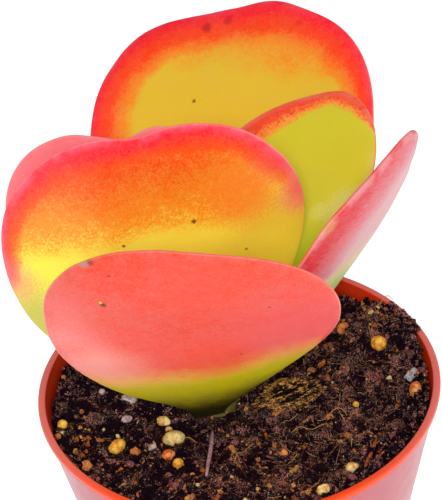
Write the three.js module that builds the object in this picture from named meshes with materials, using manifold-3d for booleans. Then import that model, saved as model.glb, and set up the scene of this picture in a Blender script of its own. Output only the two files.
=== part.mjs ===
// A potted kalanchoe, the succulent that is also called a paddle plant: six broad, flat, fleshy
// leaves and a young pair at the growing tip, on a short stem, in a round plastic nursery pot
// filled with peaty soil. Slow feed pellets, a lump of bark, a chip and two twigs lie in the soil.
//
// Millimetres, +Z up. The origin is the middle of the pot's underside, where it stands.
// +X is to the right and +Y goes back, away from the front leaf. Heights of the soil, the
// stem and the leaves are counted from the pot's rim, so they move with it.

import * as THREE from 'three';
import { mergeVertices } from 'three/addons/utils/BufferGeometryUtils.js';
import Module from 'manifold-3d';

const wasm = await Module();
wasm.setup();

// ---------------------------------------------------------------- driving dimensions

const RIM_HEIGHT = 92;
const RIM_RADIUS = 60;
const CLEARANCE = 0.3;

const POT = {
  lipWidth: 2.3,
  lipHeight: 2.2,
  lipRound: 0.8,
  wall: 1.4,
  wallTopRadius: 59,
  footRadius: 42,
  footRingWidth: 3,
  footRingHeight: 3.5,
  floor: 1.6,
  centreDiscRadius: 15,
  holeRadius: 4,
  holeCircle: 27,
  holes: 6,
  notchWidth: 9,
  notchHeight: 2,
  sides: 60,
};

const SOIL = {
  level: -8,
  frontRise: 5,
  frontFrom: -12,
  frontTo: -52,
  heap: { x: 50, y: 23, height: 9, spread: 12 },
  dip: { x: -8, y: 0, depth: 1.5, spread: 14 },
  lump: 0.55,
  clod: 1.2,
  clodWarp: 2.2,
  rings: 21,
  sides: 86,
};

// The stem leans back a little. Each row is [height, radius], and the first one is in the soil.
const STEM = {
  foot: [-8, 0],
  footHeight: -12,
  leanX: 0.08,
  leanY: 0.06,
  profile: [[-34, 3], [-30, 5], [-14, 6.6], [-8, 7], [-3, 6.4], [2, 5.4], [5, 4.2], [7, 2.4]],
  tip: 7.8,
  sides: 18,
};

// A leaf grows from foot [x, y, height]. lean is its angle from upright at the foot, towards
// azimuth, and bend is what the midrib adds to it by the tip. turn and twist roll the blade
// round its midrib, tilt turns it in its own plane. widest is where along the length the blade
// is broadest, neck is half its width at the foot, flare how late it opens and corner how
// square its top is. A wave is [angle round the rim, depth, spread of angle].
const LEAVES = {
  leaf_front: {
    foot: [-9.5, -6, -9], azimuth: -93.5, lean: 32, bend: -11.5, turn: 10.2, twist: -17.3, tilt: 0.5,
    length: 100.3, width: 77.7, widest: 0.59, neck: 4.7, flare: 3.45, corner: 2.418,
    cup: 0.0025, sweep: 0.032, thickness: 4.4,
    waves: [[60, 0.009, 20], [165, -0.026, 18], [15, 0.005, 18], [-20, 0.012, 18], [200, -0.018, 18],
      [235, 0.065, 18]],
    colour: 0xff6461,
  },
  leaf_left: {
    foot: [-12, 0, 0], azimuth: 192.3, lean: 9.5, bend: 25.5, turn: -88.7, twist: -36.5, tilt: 2,
    length: 93.2, width: 92.3, widest: 0.566, neck: 6, flare: 1.83, corner: 1.99,
    cup: -0.0038, sweep: -0.088, thickness: 4.4,
    waves: [[112, 0.065, 10], [140, -0.04, 18], [60, 0.023, 18]],
    colour: 0xf5822a,
  },
  leaf_back: {
    foot: [-7, 7, -6], azimuth: 83.5, lean: 30.9, bend: 22.6, turn: -5.8, twist: -13.5, tilt: 5.9,
    length: 115.7, width: 92.7, widest: 0.676, neck: 6, flare: 2.79, corner: 2.428,
    cup: 0.0019, sweep: 0.024, thickness: 4.4,
    waves: [[100, -0.054, 12], [55, -0.05, 18]],
    colour: 0xe8b02e,
  },
  leaf_right_back: {
    foot: [-2, 5, 3], azimuth: 55.9, lean: 23.1, bend: 26.4, turn: 4, twist: -2.6, tilt: 0.3,
    length: 86.6, width: 49.6, widest: 0.675, neck: 5, flare: 3.68, corner: 1.652,
    cup: 0.003, sweep: -0.161, thickness: 4,
    waves: [[130, -0.01, 20], [60, 0.023, 20]],
    colour: 0xcdc42f,
  },
  leaf_right: {
    foot: [-3, 1, -9], azimuth: 4.6, lean: 40.4, bend: -13.2, turn: -42.3, twist: 6, tilt: 0.7,
    length: 103.2, width: 58.4, widest: 0.706, neck: 5, flare: 3.18, corner: 1.565,
    cup: 0.0017, sweep: -0.015, thickness: 4.2,
    waves: [[130, 0.067, 20], [20, -0.02, 20]],
    colour: 0xe87886,
  },
  leaf_far_left: {
    foot: [-13, 4, -9], azimuth: 167, lean: 17.9, bend: -9.5, turn: -70, twist: -15, tilt: -0.7,
    length: 95, width: 68.9, widest: 0.587, neck: 5, flare: 3.21, corner: 2.589,
    cup: -0.0022, sweep: -0.022, thickness: 4.2,
    waves: [[98, 0.115, 10], [130, -0.016, 20]],
    colour: 0xff6c75,
  },
  leaf_young_back: {
    foot: [-6.6, -1.5, 4], azimuth: -90, lean: 8, bend: 8, turn: 0, twist: 0, tilt: -3,
    length: 21, width: 14, widest: 0.6, neck: 2.4, flare: 1.8, corner: 2,
    cup: 0.004, sweep: 0, thickness: 3, waves: [], colour: 0xb9c23a,
  },
  leaf_young_front: {
    foot: [-6.4, -3.2, 2.5], azimuth: -92, lean: 32, bend: 6, turn: 0, twist: 0, tilt: 3,
    length: 17, width: 12.5, widest: 0.6, neck: 2.4, flare: 1.8, corner: 2,
    cup: 0.004, sweep: 0, thickness: 3, waves: [], colour: 0xc0c440,
  },
};
const LEAF_SIDES = 40;
const LEAF_RINGS = 12;
const YOUNG_LEAF_SIDES = 24;
const YOUNG_LEAF_RINGS = 8;
const YOUNG_LENGTH = 30;

// Feed pellets and crumbs of stone: [x, y, half length, half width, half height, turn, colour].
const WHITISH = 0xc9b8ac;
const CREAM = 0xd9bd72;
const YELLOW = 0xd6a436;
const ORANGE = 0xcf7a2e;
const PELLETS = [
  [-33.5, 3.3, 2.5, 2.0, 1.9, 10, WHITISH],
  [-34.2, -5.3, 1.7, 1.2, 1.1, -5, WHITISH],
  [-41.7, 6.9, 1.1, 0.9, 0.9, 20, WHITISH],
  [-23.1, -8.5, 2.1, 1.6, 1.4, -15, CREAM],
  [-21.8, -9.9, 1.1, 0.9, 0.9, 0, CREAM],
  [-20.3, -16.8, 3.2, 2.5, 2.1, -8, CREAM],
  [-36.6, -19.9, 2.9, 1.8, 1.9, 48, YELLOW],
  [-37, -12.2, 0.9, 0.9, 0.9, 0, CREAM],
  [-27.1, -18.3, 1.6, 1.0, 1.0, 8, WHITISH],
  [-21.8, -25.2, 2.0, 1.7, 1.5, 0, ORANGE],
  [-19.2, -29.8, 1.5, 1.4, 1.5, 0, YELLOW],
  [-53.3, -6.1, 1.5, 1.5, 1.5, 0, YELLOW],
  [-53.3, -9.7, 1.0, 1.0, 0.9, 0, CREAM],
  [34.6, 25.3, 2.3, 2.0, 2.0, 30, ORANGE],
  [43.9, 12.1, 2.4, 2.2, 2.4, -20, YELLOW],
  [52.3, -7.1, 1.8, 2.9, 2.7, 0, ORANGE],
  [49, 4.4, 1.0, 1.0, 1.0, 0, CREAM],
  [29.6, -39.4, 2.0, 1.8, 1.8, -20, CREAM],
  [39.3, -33.9, 2.2, 1.4, 1.3, 35, YELLOW],
  [20.5, -48.8, 2.2, 1.5, 1.4, 20, CREAM],
  [11.1, -28, 1.2, 1.2, 1.2, 0, ORANGE],
  [34.1, -9.5, 0.9, 0.9, 0.9, 0, YELLOW],
];
const PELLET_SIDES = 8;
const PELLET_RINGS = 6;
const PELLET_ROUGHNESS = 0.13;
const PELLET_RISE = 0.35;

const BARK = { x: 14.5, y: -4, length: 18.5, width: 9.5, height: 8, turn: 14, colour: 0x6b4a22 };
const CHIP = { x: 52.2, y: -0.2, length: 5, width: 2.4, height: 1, turn: 50, colour: 0xa6a2a4 };
const TWIGS = {
  twig_mauve: { from: [-8.8, -15.2], to: [-11.1, -38.6], radius: 0.6, colour: 0x7d6070 },
  twig_orange: { from: [38, -26.3], to: [33, -40.8], radius: 0.5, colour: 0xa85a24 },
};
const TWIG_RISE = 0.75;
const TWIG_SIDES = 8;

const SEED = 7;

// ---------------------------------------------------------------- small tools

const radians = THREE.MathUtils.degToRad;

function seededRandom(seed) {
  let state = seed;
  return () => {
    state = (state * 16807) % 2147483647;
    return state / 2147483647;
  };
}

function smoothStep(from, to, value) {
  const t = THREE.MathUtils.clamp((value - from) / (to - from), 0, 1);
  return t * t * (3 - 2 * t);
}

// A copy of a geometry whose corners are shared, so that it is one closed surface.
function joined(geometry) {
  const bare = geometry.clone();
  bare.deleteAttribute('normal');
  bare.deleteAttribute('uv');
  return mergeVertices(bare, 1e-4);
}

// Moves every corner of a shape to where the rule sends it.
function reshaped(geometry, rule) {
  const shape = joined(geometry);
  const spots = shape.attributes.position;
  const point = new THREE.Vector3();
  for (let i = 0; i < spots.count; i += 1) {
    point.fromBufferAttribute(spots, i);
    rule(point);
    spots.setXYZ(i, point.x, point.y, point.z);
  }
  return shape;
}

function toSolid(geometry) {
  const shape = joined(geometry);
  return new wasm.Manifold(new wasm.Mesh({
    numProp: 3,
    vertProperties: shape.attributes.position.array,
    triVerts: shape.index.array,
  }));
}

function toGeometry(solid) {
  const mesh = solid.getMesh();
  const geometry = new THREE.BufferGeometry();
  geometry.setAttribute('position', new THREE.BufferAttribute(mesh.vertProperties, 3));
  geometry.setIndex(new THREE.BufferAttribute(mesh.triVerts, 1));
  geometry.computeVertexNormals();
  return geometry;
}

function cutBy(geometry, tools) {
  let solid = toSolid(geometry);
  for (const tool of tools) solid = solid.subtract(toSolid(tool));
  return toGeometry(solid);
}

// Lathe shapes turn about Y, so they are stood up to turn about Z.
function turned(profile, sides) {
  const points = profile.map(([radius, height]) => new THREE.Vector2(radius, height));
  return new THREE.LatheGeometry(points, sides).rotateX(Math.PI / 2);
}

// ---------------------------------------------------------------- pot

function outerRadius(height) {
  const share = height / (RIM_HEIGHT - POT.lipHeight);
  return THREE.MathUtils.lerp(POT.footRadius, POT.wallTopRadius, share);
}

function innerRadius(height) {
  return Math.min(outerRadius(height) - POT.wall, RIM_RADIUS - POT.lipWidth);
}

function potShape() {
  const under = POT.footRingHeight;
  const lipFoot = RIM_HEIGHT - POT.lipHeight;
  const lipInner = RIM_RADIUS - POT.lipWidth;
  const ringInner = POT.footRadius - POT.footRingWidth;
  const inside = under + POT.floor;
  const profile = [
    [0, 0],
    [POT.centreDiscRadius, 0],
    [POT.centreDiscRadius + under, under],
    [ringInner, under],
    [ringInner, 0],
    [POT.footRadius, 0],
    [outerRadius(lipFoot), lipFoot],
    [RIM_RADIUS, lipFoot + POT.lipRound / 2],
    [RIM_RADIUS, RIM_HEIGHT - POT.lipRound],
    [RIM_RADIUS - POT.lipRound, RIM_HEIGHT],
    [lipInner + POT.lipRound, RIM_HEIGHT],
    [lipInner, RIM_HEIGHT - POT.lipRound],
    [innerRadius(inside + 1), inside + 1],
    [innerRadius(inside + 1) - 1, inside],
    [POT.centreDiscRadius + under, inside],
    [POT.centreDiscRadius, POT.floor],
    [0, POT.floor],
  ];
  const tools = [];
  for (let i = 0; i < POT.holes; i += 1) {
    const angle = (i / POT.holes) * 2 * Math.PI;
    const hole = new THREE.CylinderGeometry(POT.holeRadius, POT.holeRadius, 20, 16);
    hole.rotateX(Math.PI / 2);
    hole.translate(POT.holeCircle * Math.cos(angle), POT.holeCircle * Math.sin(angle), 5);
    tools.push(hole);
    const notch = new THREE.BoxGeometry(10, POT.notchWidth, POT.notchHeight * 2);
    notch.translate(POT.footRadius - POT.footRingWidth / 2, 0, 0);
    notch.rotateZ(angle + Math.PI / POT.holes);
    tools.push(notch);
  }
  return cutBy(turned(profile, POT.sides), tools);
}

// ---------------------------------------------------------------- soil

// Clods about 6 mm across, on the soil's main shape.
function clodHeight(x, y) {
  const u = x + SOIL.clodWarp * Math.sin(0.21 * y + 0.5);
  const v = y + SOIL.clodWarp * Math.sin(0.19 * x + 1.9);
  return SOIL.clod * (Math.sin(0.62 * u + 0.24 * v) * Math.sin(0.59 * v - 0.2 * u + 1.1)
    + 0.6 * Math.sin(0.44 * u - 0.5 * v + 2.7) * Math.sin(0.53 * u + 0.37 * v));
}

// Height of the soil's top, counted from the rim.
function soilHeight(x, y) {
  const { heap, dip } = SOIL;
  const front = SOIL.frontRise * smoothStep(SOIL.frontFrom, SOIL.frontTo, y);
  const fromHeap = Math.hypot(x - heap.x, y - heap.y) / heap.spread;
  const fromDip = Math.hypot(x - dip.x, y - dip.y) / dip.spread;
  const lumps = Math.sin(0.31 * x + 1.3) * Math.cos(0.27 * y)
    + 0.7 * Math.sin(0.23 * x - 0.41 * y + 2.1);
  return SOIL.level + front + heap.height * Math.exp(-fromHeap * fromHeap / 2)
    - dip.depth * Math.exp(-fromDip * fromDip) + SOIL.lump * lumps + clodHeight(x, y);
}

function soilShape(tools) {
  const bottom = POT.footRingHeight + POT.floor + CLEARANCE;
  const bottomEdge = innerRadius(bottom) - 1 - CLEARANCE;
  const top = RIM_HEIGHT + SOIL.level;
  const topEdge = innerRadius(top) - CLEARANCE;
  const profile = [[0, bottom], [bottomEdge, bottom], [innerRadius(bottom + 2) - CLEARANCE, bottom + 2]];
  for (let i = SOIL.rings; i >= 0; i -= 1) profile.push([topEdge * i / SOIL.rings, top]);
  const shape = reshaped(turned(profile, SOIL.sides), (point) => {
    if (point.z < top - 0.01) return;
    const radius = Math.hypot(point.x, point.y);
    point.z = RIM_HEIGHT + soilHeight(point.x, point.y);
    if (radius < topEdge - 0.01) return;
    const room = (innerRadius(point.z) - CLEARANCE) / radius;
    point.x *= room;
    point.y *= room;
  });
  return cutBy(shape, tools);
}

// ---------------------------------------------------------------- stem

function stemShape(grow) {
  const profile = STEM.profile.map(([height, radius]) => [radius + grow, height]);
  profile[0][1] -= grow;
  profile.unshift([0, profile[0][1]]);
  profile.push([0, STEM.tip + grow]);
  return reshaped(turned(profile, STEM.sides), (point) => {
    const rise = point.z - STEM.footHeight;
    point.x += STEM.foot[0] + STEM.leanX * rise;
    point.y += STEM.foot[1] + STEM.leanY * rise;
    point.z += RIM_HEIGHT;
  });
}

// ---------------------------------------------------------------- leaves

// Half width and place along the midrib of the blade's rim, at an angle round the rim.
function rimPoint(leaf, angle) {
  const across = Math.cos(angle);
  const along = Math.sin(angle);
  const half = leaf.width / 2;
  const middle = leaf.widest * leaf.length;
  let x = 0;
  if (Math.abs(across) > 1e-6) {
    x = along >= 0
      ? half * Math.abs(across) ** (2 / leaf.corner)
      : leaf.neck + (half - leaf.neck) * Math.abs(across) ** leaf.flare;
    x *= Math.sign(across);
  }
  let y = along >= 0
    ? (leaf.length - middle) * along ** (2 / leaf.corner)
    : middle * along;
  for (const [place, depth, spread] of leaf.waves) {
    const away = THREE.MathUtils.euclideanModulo(angle - radians(place) + Math.PI, 2 * Math.PI) - Math.PI;
    const keep = 1 - depth * Math.exp(-((away / radians(spread)) ** 2));
    x *= keep;
    y *= keep;
  }
  return [x, y];
}

// The midrib is an arc, and this is where it is in its upright plane: how far out, how high.
function midribPoint(leaf, along) {
  const start = radians(leaf.lean);
  const curve = radians(leaf.bend) / leaf.length;
  const end = start + curve * along;
  return [(Math.cos(start) - Math.cos(end)) / curve, (Math.sin(end) - Math.sin(start)) / curve];
}

// Lays a point of the flat blade on the bent and twisted leaf. lift is along its thickness.
function onLeaf(leaf, flatX, flatY, lift) {
  const tilt = radians(leaf.tilt);
  const x = flatX * Math.cos(tilt) - flatY * Math.sin(tilt);
  const y = Math.max(0, flatX * Math.sin(tilt) + flatY * Math.cos(tilt));
  const share = y / leaf.length;
  const [out, high] = midribPoint(leaf, y);
  const lean = radians(leaf.lean + leaf.bend * share);
  const roll = radians(leaf.turn + leaf.twist * Math.min(share, 1));
  const azimuth = radians(leaf.azimuth);
  const outward = new THREE.Vector3(Math.cos(azimuth), Math.sin(azimuth), 0);
  const sideways = new THREE.Vector3(-Math.sin(azimuth), Math.cos(azimuth), 0);
  const up = new THREE.Vector3(0, 0, 1);
  const inward = outward.clone().multiplyScalar(-Math.cos(lean)).addScaledVector(up, Math.sin(lean));
  const across = sideways.clone().multiplyScalar(Math.cos(roll)).addScaledVector(inward, Math.sin(roll));
  const face = inward.clone().multiplyScalar(Math.cos(roll)).addScaledVector(sideways, -Math.sin(roll));
  const swept = x + leaf.sweep * leaf.length * share * share;
  return new THREE.Vector3(leaf.foot[0], leaf.foot[1], RIM_HEIGHT + leaf.foot[2])
    .addScaledVector(outward, out)
    .addScaledVector(up, high)
    .addScaledVector(across, swept)
    .addScaledVector(face, leaf.cup * x * x + lift);
}

// A ball is pressed into the leaf: its poles become the middles of the two faces.
function leafShape(leaf, grow) {
  const young = leaf.length < YOUNG_LENGTH;
  const ball = young
    ? new THREE.SphereGeometry(1, YOUNG_LEAF_SIDES, YOUNG_LEAF_RINGS)
    : new THREE.SphereGeometry(1, LEAF_SIDES, LEAF_RINGS);
  const middle = leaf.widest * leaf.length;
  return reshaped(ball, (point) => {
    const share = Math.min(1, Math.hypot(point.x, point.z));
    const [rimX, rimY] = rimPoint(leaf, Math.atan2(point.z, point.x));
    const bigger = 1 + grow / Math.hypot(rimX, rimY);
    const lift = (leaf.thickness / 2 + grow) * Math.sqrt(Math.max(0, 1 - share ** 4));
    point.copy(onLeaf(leaf, rimX * share * bigger, rimY * share * bigger + middle,
      Math.sign(point.y) * lift));
  });
}

// ---------------------------------------------------------------- what lies in the soil

// A rough stone of the given half sizes.
function stoneShape(halfX, halfY, halfZ, random, grow) {
  const bumps = Array.from({ length: 6 }, () => random() * 2 * Math.PI);
  return reshaped(new THREE.SphereGeometry(1, PELLET_SIDES, PELLET_RINGS), (point) => {
    const bump = 1 + PELLET_ROUGHNESS * (Math.sin(2.3 * point.x + bumps[0])
      * Math.sin(2.9 * point.y + bumps[1]) + Math.sin(3.1 * point.z + bumps[2]) * 0.6);
    point.set(point.x * (halfX * bump + grow), point.z * (halfY * bump + grow) * -1,
      point.y * (halfZ * bump + grow));
  });
}

function settled(geometry, x, y, turn, rise) {
  geometry.rotateZ(radians(turn));
  geometry.translate(x, y, RIM_HEIGHT + soilHeight(x, y) + rise);
  return geometry;
}

function pelletShape([x, y, halfX, halfY, halfZ, turn], index, grow) {
  const stone = stoneShape(halfX, halfY, halfZ, seededRandom(SEED + index), grow);
  return settled(stone, x, y, turn, halfZ * PELLET_RISE);
}

function barkShape(grow) {
  const random = seededRandom(SEED);
  const stone = stoneShape(BARK.length / 2, BARK.width / 2, BARK.height / 2, random, grow);
  return settled(stone, BARK.x, BARK.y, BARK.turn, BARK.height * 0.15);
}

function chipShape(grow) {
  const sizes = [CHIP.length, CHIP.width, CHIP.height].map((size) => size + 2 * grow);
  const chip = new THREE.BoxGeometry(...sizes);
  chip.rotateX(radians(12));
  return settled(chip, CHIP.x, CHIP.y, CHIP.turn, CHIP.height * 0.6);
}

function twigShape(twig, grow) {
  const [start, end] = [twig.from, twig.to].map(([x, y]) => new THREE.Vector3(
    x, y, RIM_HEIGHT + soilHeight(x, y) + twig.radius + TWIG_RISE));
  const length = start.distanceTo(end) + 2 * grow;
  const radius = twig.radius + grow;
  const rod = new THREE.CylinderGeometry(radius * 0.8, radius, length, TWIG_SIDES);
  const direction = end.clone().sub(start).normalize();
  const stand = new THREE.Quaternion().setFromUnitVectors(new THREE.Vector3(0, 1, 0), direction);
  rod.applyQuaternion(stand);
  const middle = start.add(end).multiplyScalar(0.5);
  return rod.translate(middle.x, middle.y, middle.z);
}

// ---------------------------------------------------------------- the plant in its pot

const plant = new THREE.Group();

function addPiece(name, geometry, colour, roughness) {
  const material = new THREE.MeshStandardMaterial({ color: colour, roughness, metalness: 0 });
  const mesh = new THREE.Mesh(geometry, material);
  mesh.name = name;
  plant.add(mesh);
}

addPiece('pot', potShape(), 0xe4605a, 0.4);
addPiece('stem', stemShape(0), 0x6f7a26, 0.7);

// Each leaf stops short of the stem and of the leaves that were set before it.
const placed = [stemShape(CLEARANCE)];
for (const [name, leaf] of Object.entries(LEAVES)) {
  addPiece(name, cutBy(leafShape(leaf, 0), placed), leaf.colour, 0.5);
  placed.push(leafShape(leaf, CLEARANCE));
}

const beds = [...placed];
PELLETS.forEach((pellet, index) => {
  const name = `pellet_${String(index + 1).padStart(2, '0')}`;
  addPiece(name, pelletShape(pellet, index, 0), pellet[6], 0.8);
  beds.push(pelletShape(pellet, index, CLEARANCE));
});
addPiece('bark_lump', barkShape(0), BARK.colour, 0.95);
beds.push(barkShape(CLEARANCE));
addPiece('chip', chipShape(0), CHIP.colour, 0.6);
beds.push(chipShape(CLEARANCE));
for (const [name, twig] of Object.entries(TWIGS)) {
  addPiece(name, twigShape(twig, 0), twig.colour, 0.8);
  beds.push(twigShape(twig, CLEARANCE));
}
addPiece('soil', soilShape(beds), 0x2a1a20, 1);

export default plant;
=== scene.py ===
"""The looks of a potted kalanchoe: fleshy leaves with a sunset blush, peaty soil, a plastic pot.

Sizes are in millimetres, as on the real plant, and become metres when a mesh is written.
Heights of the plant, the soil and what lies in it are counted from the pot's rim.
"""

import math

import bpy
import numpy as np
from mathutils import Matrix, Vector, noise


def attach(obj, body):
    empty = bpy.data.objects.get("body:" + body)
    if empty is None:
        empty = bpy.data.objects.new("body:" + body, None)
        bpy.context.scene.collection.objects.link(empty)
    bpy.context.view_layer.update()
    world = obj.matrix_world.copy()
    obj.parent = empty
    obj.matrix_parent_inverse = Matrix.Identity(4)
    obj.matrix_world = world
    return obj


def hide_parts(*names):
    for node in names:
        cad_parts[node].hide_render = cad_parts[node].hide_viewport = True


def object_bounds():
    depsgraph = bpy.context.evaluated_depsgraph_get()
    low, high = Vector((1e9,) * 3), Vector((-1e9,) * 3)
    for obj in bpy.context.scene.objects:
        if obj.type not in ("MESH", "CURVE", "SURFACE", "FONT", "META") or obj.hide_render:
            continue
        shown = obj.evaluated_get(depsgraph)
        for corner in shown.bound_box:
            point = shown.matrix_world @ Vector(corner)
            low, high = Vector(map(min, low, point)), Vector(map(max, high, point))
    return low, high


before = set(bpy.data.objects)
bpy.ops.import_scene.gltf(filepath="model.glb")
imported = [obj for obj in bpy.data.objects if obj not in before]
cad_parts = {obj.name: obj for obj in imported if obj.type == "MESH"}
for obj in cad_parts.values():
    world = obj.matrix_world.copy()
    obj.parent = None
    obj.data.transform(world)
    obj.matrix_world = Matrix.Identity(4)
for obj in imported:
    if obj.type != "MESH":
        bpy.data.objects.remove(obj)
cad_low, cad_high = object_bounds()

MM = 0.001
RIM_HEIGHT = 92
RIM_RADIUS = 60
BODY = "root"
rng = np.random.default_rng(11)

# ---- camera

CAMERA_ELEVATION = 34.16
CAMERA_ROLL = -5.02
CAMERA_DISTANCE = 450
CAMERA_SIDE = -5.04
CAMERA_RISE = 37.93
CAMERA_LENS = 108.43
CAMERA_SENSOR = 36

# Round lights: place, diameter and power. Places are in metres from the middle of the floor.
LIGHTS = {
    "top light": ((-0.25, -0.25, 0.9), 0.7, 1.0),
    "front light": ((-0.05, -1.0, 0.85), 0.32, 8.2),
    "side light": ((1.0, -0.6, 0.45), 0.6, 2.0),
}
LIGHT_AIM = (0, 0, 0.1)

# ---- the pot and its soil

# disc is the radius of the flat middle of the pot's underside. Round it the floor is raised by
# ring_height, out to the foot ring.
POT = dict(lip_width=2.3, lip_height=2.2, lip_round=0.8, wall=1.4, wall_top=59, foot=42,
           ring_width=3, ring_height=3.5, floor=1.6, disc=15, hole=4, hole_circle=27, holes=6,
           notch_width=9, notch_height=2, ring_round=0.4, sides=192)

SOIL_LEVEL = -8
SOIL_CELLS = 300
SOIL_GAP = 0.3
SOIL_FRONT = dict(rise=5, start=-12, end=-52)
SOIL_HEAP = dict(x=50, y=23, height=9, spread=12)
SOIL_DIP = dict(x=-8, y=0, depth=1.5, spread=14)
SOIL_LUMP = 0.55
SOIL_CLOD = 1.2
CLOD_WARP = 2.2

STEM = dict(foot=(-8, 0), foot_height=-12, lean_x=0.08, lean_y=0.06, tip=7.8,
            profile=[(-34, 3), (-30, 5), (-14, 6.6), (-8, 7), (-3, 6.4), (2, 5.4), (5, 4.2), (7, 2.4),
                     (7.5, 1.2)])

# ---- leaves

# A leaf grows from foot (x, y, height). lean is its angle from upright, towards azimuth, and
# bend is what the midrib adds by the tip. turn and twist roll the blade round its midrib, tilt
# turns it in its own plane. A wave is (angle round the rim, depth, spread of angle).
LEAVES = {
    "leaf_front": dict(
        foot=(-9.5, -6, -9), azimuth=-93.5, lean=32, bend=-11.5, turn=10.2, twist=-17.3, tilt=0.5,
        length=100.3, width=77.7, widest=0.59, neck=4.7, flare=3.45, corner=2.418,
        cup=0.0025, sweep=0.032, thickness=4.4,
        waves=[(60, 0.009, 20), (165, -0.026, 18), (15, 0.005, 18), (-20, 0.012, 18),
               (200, -0.018, 18), (235, 0.065, 18)]),
    "leaf_left": dict(
        foot=(-12, 0, 0), azimuth=192.3, lean=9.5, bend=25.5, turn=-88.7, twist=-36.5, tilt=2,
        length=93.2, width=92.3, widest=0.566, neck=6, flare=1.83, corner=1.99,
        cup=-0.0038, sweep=-0.088, thickness=4.4,
        waves=[(112, 0.065, 10), (140, -0.04, 18), (60, 0.023, 18)]),
    "leaf_back": dict(
        foot=(-7, 7, -6), azimuth=83.5, lean=30.9, bend=22.6, turn=-5.8, twist=-13.5, tilt=5.9,
        length=115.7, width=92.7, widest=0.676, neck=6, flare=2.79, corner=2.428,
        cup=0.0019, sweep=0.024, thickness=4.4,
        waves=[(100, -0.054, 12), (55, -0.05, 18)]),
    "leaf_right_back": dict(
        foot=(-2, 5, 3), azimuth=55.9, lean=23.1, bend=26.4, turn=4, twist=-2.6, tilt=0.3,
        length=86.6, width=49.6, widest=0.675, neck=5, flare=3.68, corner=1.652,
        cup=0.003, sweep=-0.161, thickness=4,
        waves=[(130, -0.01, 20), (60, 0.023, 20)]),
    "leaf_right": dict(
        foot=(-3, 1, -9), azimuth=4.6, lean=40.4, bend=-13.2, turn=-42.3, twist=6, tilt=0.7,
        length=103.2, width=58.4, widest=0.706, neck=5, flare=3.18, corner=1.565,
        cup=0.0017, sweep=-0.015, thickness=4.2,
        waves=[(130, 0.067, 20), (20, -0.02, 20)]),
    "leaf_far_left": dict(
        foot=(-13, 4, -9), azimuth=167, lean=17.9, bend=-9.5, turn=-70, twist=-15, tilt=-0.7,
        length=95, width=68.9, widest=0.587, neck=5, flare=3.21, corner=2.589,
        cup=-0.0022, sweep=-0.022, thickness=4.2,
        waves=[(98, 0.115, 10), (130, -0.016, 20)]),
    "leaf_young_back": dict(
        foot=(-6.6, -1.5, 4), azimuth=-90, lean=8, bend=8, turn=0, twist=0, tilt=-3,
        length=21, width=14, widest=0.6, neck=2.4, flare=1.8, corner=2,
        cup=0.004, sweep=0, thickness=3, waves=[]),
    "leaf_young_front": dict(
        foot=(-6.4, -3.2, 2.5), azimuth=-92, lean=32, bend=6, turn=0, twist=0, tilt=3,
        length=17, width=12.5, widest=0.6, neck=2.4, flare=1.8, corner=2,
        cup=0.004, sweep=0, thickness=3, waves=[]),
}
LEAF_SLOTS = {"leaf_left": "leaf_sunset", "leaf_back": "leaf_sunset", "leaf_front": "leaf_coral",
              "leaf_right": "leaf_coral", "leaf_far_left": "leaf_coral"}
LEAF_SIDES = 144
LEAF_RINGS = 56
LEAF_SAG = 0.12
LEAF_RIPPLE = 0.25
# Leaves glow faintly in their own colour: painted light that lifts their shaded parts, in place of light
# passing through the leaf.
LEAF_PAINTED_GLOW = 0.12
UV_SIZE = 100

# ---- what lies in the soil

# x, y, half length, half width, half height, turn, kind
PELLETS = [
    (-33.5, 3.3, 2.5, 2.0, 1.9, 10, "whitish"),
    (-34.2, -5.3, 1.7, 1.2, 1.1, -5, "whitish"),
    (-41.7, 6.9, 1.1, 0.9, 0.9, 20, "whitish"),
    (-23.1, -8.5, 2.1, 1.6, 1.4, -15, "cream"),
    (-21.8, -9.9, 1.1, 0.9, 0.9, 0, "cream"),
    (-20.3, -16.8, 3.2, 2.5, 2.1, -8, "cream"),
    (-36.6, -19.9, 2.9, 1.8, 1.9, 48, "yellow"),
    (-37, -12.2, 0.9, 0.9, 0.9, 0, "cream"),
    (-27.1, -18.3, 1.6, 1.0, 1.0, 8, "whitish"),
    (-21.8, -25.2, 2.0, 1.7, 1.5, 0, "orange"),
    (-19.2, -29.8, 1.5, 1.4, 1.5, 0, "yellow"),
    (-53.3, -6.1, 1.5, 1.5, 1.5, 0, "yellow"),
    (-53.3, -9.7, 1.0, 1.0, 0.9, 0, "cream"),
    (34.6, 25.3, 2.3, 2.0, 2.0, 30, "orange"),
    (43.9, 12.1, 2.4, 2.2, 2.4, -20, "yellow"),
    (52.3, -7.1, 1.8, 2.9, 2.7, 0, "orange"),
    (49, 4.4, 1.0, 1.0, 1.0, 0, "cream"),
    (29.6, -39.4, 2.0, 1.8, 1.8, -20, "cream"),
    (39.3, -33.9, 2.2, 1.4, 1.3, 35, "yellow"),
    (20.5, -48.8, 2.2, 1.5, 1.4, 20, "cream"),
    (11.1, -28, 1.2, 1.2, 1.2, 0, "orange"),
    (34.1, -9.5, 0.9, 0.9, 0.9, 0, "yellow"),
]
PELLET_RISE = 0.35

# Lumps of soil that show well: x, y, half length, half width, half height, tone.
NAMED_CLODS = [
    (-43.4, -5, 3.3, 2.3, 1.7, 0.55), (22.8, 11.1, 1.3, 1.1, 1.0, 0.95),
    (3, -20, 1.9, 1.3, 1.1, 0.6), (33, -3, 2.2, 1.4, 1.2, 0.5), (20, -22, 2.4, 1.5, 1.2, 0.45),
    (-6, -38, 2.0, 1.6, 1.2, 0.5), (9.5, -9.2, 1.7, 0.8, 0.9, 1.0),
    (12.4, -8.6, 1.5, 0.8, 0.9, 1.0), (7.4, -7.6, 1.1, 0.7, 0.7, 0.97),
]
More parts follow.
